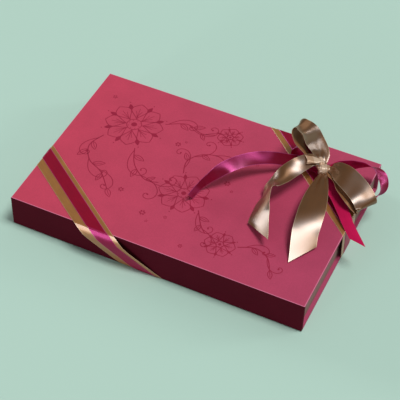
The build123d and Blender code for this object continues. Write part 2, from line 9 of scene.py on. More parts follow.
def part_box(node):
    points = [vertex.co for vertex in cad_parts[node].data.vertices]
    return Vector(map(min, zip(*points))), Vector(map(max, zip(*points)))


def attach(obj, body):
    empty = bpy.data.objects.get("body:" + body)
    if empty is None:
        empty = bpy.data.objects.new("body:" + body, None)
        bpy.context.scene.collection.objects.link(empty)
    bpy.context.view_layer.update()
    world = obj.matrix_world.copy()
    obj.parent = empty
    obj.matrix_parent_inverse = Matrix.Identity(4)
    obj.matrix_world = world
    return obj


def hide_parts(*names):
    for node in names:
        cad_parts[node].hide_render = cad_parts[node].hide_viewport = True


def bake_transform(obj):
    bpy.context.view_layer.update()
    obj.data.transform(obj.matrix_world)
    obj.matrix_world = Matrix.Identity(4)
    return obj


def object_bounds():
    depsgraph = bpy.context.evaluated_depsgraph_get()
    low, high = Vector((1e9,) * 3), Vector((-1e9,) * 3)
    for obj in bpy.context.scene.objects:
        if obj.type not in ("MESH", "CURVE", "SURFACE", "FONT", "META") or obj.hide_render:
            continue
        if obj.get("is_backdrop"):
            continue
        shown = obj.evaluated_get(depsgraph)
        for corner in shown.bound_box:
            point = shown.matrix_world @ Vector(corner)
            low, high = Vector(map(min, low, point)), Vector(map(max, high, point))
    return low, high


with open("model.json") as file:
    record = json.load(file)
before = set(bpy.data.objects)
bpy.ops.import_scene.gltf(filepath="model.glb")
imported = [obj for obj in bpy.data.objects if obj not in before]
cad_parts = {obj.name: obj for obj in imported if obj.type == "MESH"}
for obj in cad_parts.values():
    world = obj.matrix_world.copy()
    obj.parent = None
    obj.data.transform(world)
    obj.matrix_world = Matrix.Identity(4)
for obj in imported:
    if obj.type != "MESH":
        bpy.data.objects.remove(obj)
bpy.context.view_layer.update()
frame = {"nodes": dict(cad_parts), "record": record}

nodes = frame["nodes"]
scene = bpy.context.scene
scene.view_settings.view_transform = "Standard"

# Sizes are in millimetres, and MM takes them to metres. CASE has half of the case's length, depth
# and height
MM = 0.001
LID_TOP = 35.0
CASE = Vector((150.0, 100.0, LID_TOP / 2))
RIBBON_THICKNESS = 0.35
WIDTH = {"gold": 25.0, "burgundy": 12.5}

# Small tools


def srgb(red, green, blue):
    """Colour numbers from 0 to 255, as a picture holds them, to the linear values a shader takes."""
    def linear(value):
        value /= 255.0
        return value / 12.92 if value <= 0.04045 else ((value + 0.055) / 1.055) ** 2.4
    return (linear(red), linear(green), linear(blue), 1.0)


def shade(colour, factor):
    """A lighter or darker tone of a colour."""
    return (*(min(1.0, channel * factor) for channel in colour[:3]), 1.0)


def grey(value):
    return (value, value, value, 1.0)


class Look:
    """A node material with one Principled shader. Values given by name go to its own sockets."""

    def __init__(self, name, **values):
        self.mat = bpy.data.materials.new(name)
        self.mat.use_nodes = True
        self.tree = self.mat.node_tree
        self.tree.nodes.clear()
        self.out = self.add("OutputMaterial")
        self.bsdf = self.add("BsdfPrincipled")
        self.link(self.bsdf.outputs[0], self.out.inputs[0])
        for key, value in values.items():
            self.bsdf.inputs[key.replace("_", " ")].default_value = value

    def add(self, kind, **settings):
        node = self.tree.nodes.new("ShaderNode" + kind)
        for key, value in settings.items():
            setattr(node, key, value)
        return node

    def link(self, source, target):
        self.tree.links.new(source, target)

    def coords(self, kind="Object", scale=(1, 1, 1)):
        source = self.add("TexCoord")
        mapping = self.add("Mapping")
        mapping.inputs["Scale"].default_value = scale
        self.link(source.outputs[kind], mapping.inputs["Vector"])
        return mapping.outputs["Vector"]

    def noise(self, vector, scale, detail=3.0, rough=0.55):
        node = self.add("TexNoise")
        node.inputs["Scale"].default_value = scale
        node.inputs["Detail"].default_value = detail
        node.inputs["Roughness"].default_value = rough
        self.link(vector, node.inputs["Vector"])
        return node.outputs["Fac"]

    def ramp(self, value, stops):
        """A colour for each (place, colour) stop, and the colours between them."""
        node = self.add("ValToRGB")
        while len(node.color_ramp.elements) < len(stops):
            node.color_ramp.elements.new(0.5)
        for element, (place, colour) in zip(node.color_ramp.elements, stops):
            element.position = place
            element.color = colour
        self.link(value, node.inputs[0])
        return node.outputs["Color"]

    def math(self, operation, *values):
        node = self.add("Math", operation=operation)
        for socket, value in zip(node.inputs, values):
            if isinstance(value, (int, float)):
                socket.default_value = value
            else:
                self.link(value, socket)
        return node.outputs[0]

    def mix(self, factor, first, second, blend="MIX"):
        node = self.add("Mix", data_type="RGBA", blend_type=blend)
        # The mix node's colour sockets: factor 0, first colour 6, second colour 7, result 2
        for index, value in ((0, factor), (6, first), (7, second)):
            socket = node.inputs[index]
            if isinstance(value, (int, float, tuple)):
                socket.default_value = value
            else:
                self.link(value, socket)
        return node.outputs[2]

    def bump(self, height, strength, distance, before=None):
        node = self.add("Bump")
        node.inputs["Strength"].default_value = strength
        node.inputs["Distance"].default_value = distance
        self.link(height, node.inputs["Height"])
        if before is not None:
            self.link(before, node.inputs["Normal"])
        return node.outputs["Normal"]

    def colour(self, value):
        self.link(value, self.bsdf.inputs["Base Color"])

    def rough(self, value):
        self.link(value, self.bsdf.inputs["Roughness"])

    def normal(self, value):
        self.link(value, self.bsdf.inputs["Normal"])


def mesh_piece(name, points, faces, look, body, smooth=True, uvs=None):
    """A mesh given in millimetres, which rides on a body unless that is None."""
    mesh = bpy.data.meshes.new(name)
    mesh.from_pydata([Vector(p) * MM for p in points], [], faces)
    mesh.validate()
    mesh.update()
    if uvs is not None:
        layer = mesh.uv_layers.new(name="UVMap")
        for loop in mesh.loops:
            layer.data[loop.index].uv = uvs[loop.vertex_index]
    for polygon in mesh.polygons:
        polygon.use_smooth = smooth
    obj = bpy.data.objects.new(name, mesh)
    scene.collection.objects.link(obj)
    mesh.materials.append(look.mat)
    if body is not None:
        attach(obj, body)
    return obj


# Camera, fitted to the case's corners in the photograph

eye = Vector((0.359553, -0.808462, 0.936658))
right = Vector((0.904141, 0.426629, 0.022744))
up = Vector((-0.323252, 0.648309, 0.689350))
back = Vector((0.279351, -0.630621, 0.724072))
camera_data = bpy.data.cameras.new("camera")
camera = bpy.data.objects.new("camera", camera_data)
scene.collection.objects.link(camera)
camera.matrix_world = Matrix((
    (right.x, up.x, back.x, eye.x),
    (right.y, up.y, back.y, eye.y),
    (right.z, up.z, back.z, eye.z),
    (0, 0, 0, 1),
))
camera_data.sensor_width = 36.0
camera_data.lens = 118.152
camera_data.clip_start = 0.05
camera_data.clip_end = 30.0
scene.camera = camera

# Materials

PAPER_GRAIN_SCALE = 850.0
PAPER_MOTTLE_SCALE = 38.0
PAPER_ROUGHNESS_RANGE = 0.07
PAPER_GRAIN_HEIGHT = 0.3 * MM


def paper(name, colour, vary=0.10, grain=0.12, roughness=0.62, bump=0.10, specular=0.35):
    """Cover paper: mottled colour, a fine grain and a dull sheen."""
    look = Look(name, Specular_IOR_Level=specular)
    at = look.coords()
    fine = look.noise(at, PAPER_GRAIN_SCALE, 4.0, 0.7)
    broad = look.noise(at, PAPER_MOTTLE_SCALE, 3.0, 0.5)
    speck = look.ramp(fine, [(0.25, shade(colour, 1 - grain)), (0.75, shade(colour, 1 + grain))])
    tint = look.ramp(broad, [(0.3, grey(1 - vary)), (0.7, grey(1.0))])
    look.colour(look.mix(1.0, speck, tint, "MULTIPLY"))
    smoother, rougher = grey(roughness - PAPER_ROUGHNESS_RANGE), grey(roughness + PAPER_ROUGHNESS_RANGE)
    look.rough(look.ramp(fine, [(0.2, smoother), (0.8, rougher)]))
    look.normal(look.bump(fine, bump, PAPER_GRAIN_HEIGHT))
    return look


# The lid's painted edge highlight starts this far out from the middle, and above this height
HIGHLIGHT_ENDS = 149.4 * MM
HIGHLIGHT_SIDES = 99.2 * MM
HIGHLIGHT_ABOVE = 34.1 * MM
EDGE_HIGHLIGHT = 0.8
# Painted shade: how fast the lid's paper grows darker and bluer towards the right end, per metre
PAINTED_SHADE_PER_METRE = 3.3


def lid_paper():
    """The lid's cover paper: rose red, with painted shade that makes it darker and bluer towards the right,
    and a painted highlight along its top edges.
    """
    look = paper("lid_paper", srgb(194, 60, 86))
    base = look.bsdf.inputs["Base Color"].links[0].from_socket
    place = look.add("SeparateXYZ")
    look.link(look.coords(), place.inputs[0])
    x, y, z = place.outputs
    # Painted shade: the paper darker and bluer towards the right end, for light that falls off across the
    # lid
    along = look.math("MULTIPLY_ADD", x, PAINTED_SHADE_PER_METRE, 0.5)
    painted_falloff = look.ramp(along, [(0.0, grey(1.0)), (1.0, (0.80, 0.98, 1.18, 1.0))])
    shaded_paper = look.mix(1.0, base, painted_falloff, "MULTIPLY")
    # A paler pink along the lid's top edges: a painted highlight for the light that the rounded edges catch
    past_ends = look.math("SUBTRACT", look.math("ABSOLUTE", x), HIGHLIGHT_ENDS)
    past_sides = look.math("SUBTRACT", look.math("ABSOLUTE", y), HIGHLIGHT_SIDES)
    outer = look.math("GREATER_THAN", look.math("MAXIMUM", past_ends, past_sides), 0.0)
    high = look.math("GREATER_THAN", z, HIGHLIGHT_ABOVE)
    edge_highlight = look.math("MULTIPLY", look.math("MULTIPLY", outer, high), EDGE_HIGHLIGHT)
    look.colour(look.mix(edge_highlight, shaded_paper, srgb(214, 122, 152)))
    return look


# Threads are long along the ribbon and fine across it. The rest is per metre of ribbon, or in metres
THREAD_SCALE = (60.0, 2600.0, 1.0)
SLUB_SCALE = 70.0
WEFT_SCALE = 1600.0
STITCH_PHASE = 5200.0
SELVEDGE = 0.4 * MM
THREAD_HEIGHT = 0.12 * MM
WEFT_HEIGHT = 0.05 * MM


def satin(name, body, shine, width, roughness=0.4, ior=2.4, metallic=0.0, coat=0.0, coat_ior=1.7):
    """Satin ribbon: its threads run along it, so its gloss lies across it. Its edges are woven dense."""
    look = Look(
        name, Anisotropic=0.93, Anisotropic_Rotation=0.25, IOR=ior, Specular_Tint=shine, Metallic=metallic,
        Coat_Weight=coat, Coat_Roughness=0.3, Coat_IOR=coat_ior,
    )
    at = look.coords("UV")
    threads = look.noise(look.coords("UV", THREAD_SCALE), 1.0, 2.0, 0.6)
    slub = look.noise(at, SLUB_SCALE, 3.0, 0.5)
    lines = look.ramp(threads, [(0.3, shade(body, 0.84)), (0.7, shade(body, 1.1))])
    patches = look.ramp(slub, [(0.3, grey(0.84)), (0.7, grey(1.0))])
    cloth = look.mix(1.0, lines, patches, "MULTIPLY")
    place = look.add("SeparateXYZ")
    look.link(at, place.inputs[0])
    along, across = place.outputs[0], place.outputs[1]
    from_middle = look.math("ABSOLUTE", look.math("SUBTRACT", across, width * MM / 2))
    selvedge = look.math("GREATER_THAN", from_middle, width * MM / 2 - SELVEDGE)
    stitches = look.math("SINE", look.math("MULTIPLY", along, STITCH_PHASE))
    knots = look.math("MULTIPLY_ADD", stitches, 0.15, 0.25)
    edge = look.math("MULTIPLY", selvedge, knots)
    look.colour(look.mix(edge, cloth, shine))
    look.rough(look.ramp(threads, [(0.2, grey(roughness - 0.05)), (0.8, grey(roughness + 0.05))]))
    weft = look.add("TexWave", wave_type="BANDS", bands_direction="X")
    weft.inputs["Scale"].default_value = WEFT_SCALE
    look.link(at, weft.inputs["Vector"])
    ridges = look.bump(threads, 0.10, THREAD_HEIGHT)
    look.normal(look.bump(weft.outputs["Fac"], 0.03, WEFT_HEIGHT, ridges))
    tangent = look.add("Tangent", direction_type="UV_MAP", uv_map="UVMap")
    look.link(tangent.outputs[0], look.bsdf.inputs["Tangent"])
    return look


def chocolate(name, colour, roughness=0.38, speckle=0.12, coat=0.15):
    """Chocolate: cloudy in tone, finely rough, with a thin gloss unless it is dusted."""
    look = Look(
        name, Specular_IOR_Level=0.45, Coat_Weight=coat, Coat_Roughness=0.25, Subsurface_Weight=0.05,
    )
    at = look.coords()
    cloud = look.noise(at, 120.0, 3.0, 0.5)
    fine = look.noise(at, 900.0, 2.0, 0.6)
    look.colour(look.ramp(cloud, [(0.3, shade(colour, 1 - speckle)), (0.7, shade(colour, 1 + speckle))]))
    look.rough(look.ramp(fine, [(0.2, grey(roughness - 0.06)), (0.8, grey(roughness + 0.10))]))
    look.normal(look.bump(cloud, 0.12, 0.6 * MM))
    return look


def disc_metal(name, colour, roughness=0.28):
    """Plated metal with fine lines round it."""
    look = Look(name, Metallic=1.0)
    at = look.coords("Object", (1.0, 1.0, 18.0))
    lines = look.noise(at, 700.0, 2.0, 0.6)
    look.colour(look.ramp(lines, [(0.2, shade(colour, 0.9)), (0.8, colour)]))
    look.rough(look.ramp(lines, [(0.2, grey(roughness - 0.05)), (0.8, grey(roughness + 0.1))]))
    return look


def film(name, colour):
    """Formed plastic film with a soft metallic gloss."""
    look = Look(name, Specular_IOR_Level=0.6, Metallic=0.25, Coat_Weight=0.5, Coat_Roughness=0.12)
    waves = look.noise(look.coords(), 60.0, 2.0, 0.5)
    look.colour(look.ramp(waves, [(0.3, shade(colour, 0.88)), (0.7, shade(colour, 1.08))]))
    look.rough(look.ramp(waves, [(0.2, grey(0.22)), (0.8, grey(0.34))]))
    look.normal(look.bump(waves, 0.08, 1.0 * MM))
    return look


# One look for each material slot of the record
looks = {
    "lid_paper": lid_paper(),
    "base_paper": paper("base_paper", srgb(172, 66, 100)),
    # The flap's cover and the lining are dark maroon: painted shade, a darker copy of the rose paper for
    # the front and inner faces, which lie in shade
    "flap_paper": paper("flap_paper", srgb(82, 7, 27), grain=0.2, roughness=0.85, specular=0.12),
    "lining_paper": paper("lining_paper", srgb(74, 20, 34), grain=0.15, roughness=0.7),
    "tray_paper": paper("tray_paper", srgb(134, 104, 96), vary=0.06, grain=0.07),
    "greyboard": paper("greyboard", srgb(150, 146, 138), roughness=0.8),
    "disc_magnet": disc_metal("disc_magnet", srgb(205, 205, 208)),
    "insert_film": film("insert_film", srgb(178, 128, 62)),
    "dark_chocolate": chocolate("dark_chocolate", srgb(58, 34, 24)),
    "milk_chocolate": chocolate("milk_chocolate", srgb(104, 62, 38)),
    "cocoa_chocolate": chocolate("cocoa_chocolate", srgb(92, 58, 40), 0.85, 0.25, 0.0),
    "white_chocolate": chocolate("white_chocolate", srgb(226, 204, 160)),
    "nougat_chocolate": chocolate("nougat_chocolate", srgb(140, 92, 58)),
    "pad_paper": paper("pad_paper", srgb(208, 186, 158), roughness=0.55),
    "gold_satin": satin(
        "gold_satin", srgb(186, 118, 52), srgb(255, 236, 206), WIDTH["gold"],
        roughness=0.4, ior=1.7, metallic=0.35, coat=0.7, coat_ior=2.0,
    ),
    "burgundy_satin": satin(
        "burgundy_satin", srgb(150, 2, 24), srgb(255, 120, 210), WIDTH["burgundy"],
        roughness=0.36, ior=2.4, metallic=0.1,
    ),
}
# The bow shows the satin's face on one side and its duller reverse on the other
# The bow's satins are darker, browner copies of the case ribbon's: painted shade, as the bow and the case
# ribbon are one ribbon
shaded_bow_looks = {
    "gold": satin(
        "gold_bow_satin_painted_shade", srgb(112, 60, 12), srgb(255, 232, 196), WIDTH["gold"],
        roughness=0.37, ior=1.8, metallic=0.35, coat=0.75, coat_ior=1.85,
    ),
    "burgundy": satin(
        "burgundy_bow_satin_painted_shade", srgb(134, 1, 26), srgb(255, 125, 215), WIDTH["burgundy"],
        roughness=0.38, ior=2.4, metallic=0.2, coat=0.1,
    ),
}
# The gold reverse is the duller side of the satin, and it is also painted lighter than the face: painted
# light, so that inner strands in shade read as lit
reverse_looks = {
    "gold": satin(
        "gold_reverse_painted_light", srgb(158, 108, 68), srgb(255, 226, 192), WIDTH["gold"],
        roughness=0.5, ior=1.6, metallic=0.2,
    ),
    "burgundy": satin(
        "burgundy_reverse", srgb(196, 26, 80), srgb(214, 70, 120), WIDTH["burgundy"],
        roughness=0.8, ior=1.3,
    ),
}
# The knot is the gold ribbon painted paler and creamier than the bow's satin: a painted highlight for the
# light that the knot catches
knot_highlight_look = satin(
    "gold_knot_painted_highlight", srgb(200, 158, 126), srgb(255, 240, 220), WIDTH["gold"],
    roughness=0.42, ior=1.7, metallic=0.15, coat=0.6, coat_ior=1.8,
)
print_look = paper("print_red", srgb(152, 14, 54))
slot_of = {entry["node"]: entry["material_slot"] for entry in frame["record"]["subparts"]}
for node_name, obj in nodes.items():
    obj.data.materials.clear()
    obj.data.materials.append(looks[slot_of[node_name]].mat)

# Ribbon round the case

# Where the two sides of each ribbon cross the edges of the case: two places along each edge, the lower
# one first. The ribbon goes round in this order
crossings = {
    "gold": {
        "left_top": (-50.91, -19.89), "front_top": (-83.12, -40.88), "front_bottom": (-33.85, 9.85),
        "right_bottom": (-2.24, 28.24), "right_top": (-6.0, 27.6), "back_top": (31.99, 69.41),
        "back_bottom": (-12.84, 30.84), "left_bottom": (-26.24, 4.24),
    },
    "burgundy": {
        "left_top": (-40.18, -24.67), "front_top": (-68.51, -47.38), "front_bottom": (-18.73, 3.12),
        "right_bottom": (4.53, 19.77), "right_top": (1.46, 18.26), "back_top": (40.3, 59.01),
        "back_bottom": (-3.14, 18.7), "left_bottom": (-15.7, -0.45),
    },
}
LAYER = {"gold": 0, "burgundy": 1}
# Edges where the side that is at the lower place elsewhere is at the higher one
FAR_SIDES = ("right_bottom", "right_top", "back_top", "back_bottom")
# The ribbon's gap to the paper, and the radius of its folds
LAYER_GAP = 0.06
FOLD_RADIUS = 1.2
# Below the lid's long edges it stands away: it slopes out from the edge, then back in towards the foot
FOLD_SLOPE = 0.52
FOOT_SLOPE = 0.17
FOLD_SOFTNESS = 0.7
# Rows of the mesh, along the ribbon: close together near a fold, and further apart elsewhere
NEAR_FOLD = (0.0, 0.5, 1.0, 1.5, 2.0, 2.6, 3.3, 4.2)
CLEAR_OF_FOLD = 5
ROW_SPACING = 7
WRAP_COLUMNS = {"gold": 7, "burgundy": 5}


def edge_points(place, pair):
    """The ribbon's two sides on an edge of the case, and its two faces' outward directions, added."""
    side, level = place.split("_")
    z = LID_TOP if level == "top" else 0.0
    up_or_down = Vector((0, 0, 1 if level == "top" else -1))
    low, high = pair
    if side in ("left", "right"):
        x = -CASE.x if side == "left" else CASE.x
        outward = Vector((math.copysign(1, x), 0, 0))
        ends = [Vector((x, low, z)), Vector((x, high, z))]
    else:
        y = -CASE.y if side == "front" else CASE.y
        outward = Vector((0, math.copysign(1, y), 0))
        ends = [Vector((low, y, z)), Vector((high, y, z))]
    if place in FAR_SIDES:
        ends.reverse()
    return ends, outward + up_or_down


def between(first, second, share):
    """The points at a share of the way from each of the first to each of the second."""
    return [a.lerp(b, share) for a, b in zip(first, second)]


def fold_round(point, rise):
    """Takes a point of the sharp-edged wrapping onto rounded folds."""
    centre = Vector((0, 0, CASE.z))
    inner = CASE - Vector((FOLD_RADIUS,) * 3)
    local = point - centre
    core = Vector([max(-i, min(i, c)) for c, i in zip(local, inner)])
    away = local - core
    place = centre + core + away.normalized() * (FOLD_RADIUS + rise)
    below = max(0.0, LID_TOP - place.z)
    if abs(place.y) > CASE.y - FOLD_RADIUS and abs(place.x) < CASE.x:
        outwards = FOLD_SLOPE * below
        inwards = FOOT_SLOPE * (LID_TOP - below)
        # The lesser of the two, rounded where they meet
        nearness = math.exp(-outwards / FOLD_SOFTNESS) + math.exp(-inwards / FOLD_SOFTNESS)
        stand_off = -FOLD_SOFTNESS * math.log(nearness)
        place.y += math.copysign(max(0.0, stand_off), place.y)
    return place


def leg_shares(length, fold_at_start, fold_at_end):
    """Where the rows of a straight leg lie, as shares of its length."""
    shares = {0.0, 1.0}
    if fold_at_start:
        shares.update(distance / length for distance in NEAR_FOLD)
    if fold_at_end:
        shares.update(1 - distance / length for distance in NEAR_FOLD)
    count = max(2, int(length / ROW_SPACING))
    clear = CLEAR_OF_FOLD / length
    shares.update(i / count for i in range(1, count) if clear < i / count < 1 - clear)
    return sorted(share for share in shares if 0 <= share <= 1)


def wrapped_ribbon(name, colour, keys, body):
    """One length of ribbon folded round edges of the case.

    Each key is (place, next place, share of the way to it), with no next place for a point on an edge.
    """
    route = crossings[colour]
    low_rise = LAYER_GAP + LAYER[colour] * RIBBON_THICKNESS
    high_rise = LAYER_GAP + (LAYER[colour] + 1) * RIBBON_THICKNESS
    columns = WRAP_COLUMNS[colour]

    def key_pair(key, rise):
        place, after, share = key
        ends, outwards = edge_points(place, route[place])
        pair = [end + outwards * rise for end in ends]
        if after is None:
            return pair
        next_ends, next_outwards = edge_points(after, route[after])
        return between(pair, [end + next_outwards * rise for end in next_ends], share)

    layers = []
    for rise in (low_rise, high_rise):
        pairs = [key_pair(key, rise) for key in keys]
        rows = []
        for index in range(len(keys) - 1):
            start, end = pairs[index], pairs[index + 1]
            length = ((start[0] + start[1]) / 2 - (end[0] + end[1]) / 2).length
            shares = leg_shares(length, keys[index][1] is None, keys[index + 1][1] is None)
            # A leg's first row is the last row of the leg before it
            for share in shares[(1 if index else 0):]:
                a, b = between(start, end, share)
                rows.append([fold_round(a.lerp(b, c / (columns - 1)), rise) for c in range(columns)])
        layers.append(rows)
    return ribbon_solid(name, layers, WIDTH[colour], looks[f"{colour}_satin"], body)


SHARP_EDGE = math.radians(50)


def ribbon_solid(name, layers, width, look, body, reverse=None, reverse_up=False):
    """Closes a ribbon's lower and upper surfaces into one solid. Reverse is its other side's look."""
    lower, upper = layers
    rows, columns = len(upper), len(upper[0])
    points, uvs, faces = [], [], []
    for rows_of in (lower, upper):
        run = 0.0
        for r in range(rows):
            if r:
                middle = columns // 2
                run += (rows_of[r][middle] - rows_of[r - 1][middle]).length
            for c in range(columns):
                points.append(rows_of[r][c])
                uvs.append((run * MM, c / (columns - 1) * width * MM))
    size = rows * columns
    for r in range(rows - 1):
        for c in range(columns - 1):
            a = r * columns + c
            faces.append((a, a + columns, a + columns + 1, a + 1))
            faces.append((size + a, size + a + 1, size + a + columns + 1, size + a + columns))
    for r in range(rows - 1):
        for c, flip in ((0, False), (columns - 1, True)):
            a, b = r * columns + c, (r + 1) * columns + c
            quad = (a, size + a, size + b, b)
            faces.append(quad[::-1] if flip else quad)
    for c in range(columns - 1):
        for r, flip in ((0, True), (rows - 1, False)):
            a, b = r * columns + c, r * columns + c + 1
            quad = (a, size + a, size + b, b)
            faces.append(quad[::-1] if flip else quad)
    obj = mesh_piece(name, points, faces, look, body, True, uvs)
    if reverse is not None:
        obj.data.materials.append(reverse.mat)
        # The surfaces come first, with lower and upper faces by turns
        for index in range(2 * (rows - 1) * (columns - 1)):
            obj.data.polygons[index].material_index = 1 if (index % 2 == 1) == reverse_up else 0
    mesh = bmesh.new()
    mesh.from_mesh(obj.data)
    bmesh.ops.recalc_face_normals(mesh, faces=mesh.faces)
    mesh.to_mesh(obj.data)
    mesh.free()
    obj.data.set_sharp_from_angle(angle=SHARP_EDGE)
    return obj


# Each ribbon is parted at the top of both ends and at the foot of the long sides. These places are
# shares of the case's height
LID_EDGE_SHARE = 32.6 / LID_TOP
END_TOP_SHARE = 32.35 / LID_TOP
FOOT_SHARE = (LID_TOP - 0.5) / LID_TOP
UNDER_SHARE = (LID_TOP - 0.1) / LID_TOP
# For each side of the case: the keys of the ribbon's route, its body unless it crosses a crease, and the
# CAD bands that it stands for
wraps = {
    "front": (
        [("left_bottom", "left_top", LID_EDGE_SHARE), ("left_top", None, 0),
         ("front_top", None, 0), ("front_top", "front_bottom", FOOT_SHARE)],
        None, ("lid_front", "flap"),
    ),
    "right": (
        [("front_top", "front_bottom", UNDER_SHARE), ("front_bottom", None, 0),
         ("right_bottom", None, 0), ("right_bottom", "right_top", END_TOP_SHARE)],
        "base", ("under_front", "right_end"),
    ),
    "back": (
        [("right_bottom", "right_top", LID_EDGE_SHARE), ("right_top", None, 0),
         ("back_top", None, 0), ("back_top", "back_bottom", FOOT_SHARE)],
        None, ("lid_rear", "spine"),
    ),
    "left": (
        [("back_top", "back_bottom", UNDER_SHARE), ("back_bottom", None, 0),
         ("left_bottom", None, 0), ("left_bottom", "left_top", END_TOP_SHARE)],
        "base", ("under_rear", "left_end"),
    ),
}
# Each side's piece of both ribbons, in place of the CAD bands that it stands for. The pieces that cross a
# crease have their place baked into their points
for colour in ("gold", "burgundy"):
    for side, (keys, body, places) in wraps.items():
        piece = wrapped_ribbon(f"{colour}_ribbon_{side}", colour, keys, body)
        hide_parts(*[f"{colour}_band_{place}" for place in places])
        if side == "front":
            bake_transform(piece)
        if side == "back":
            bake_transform(piece)

# Bow

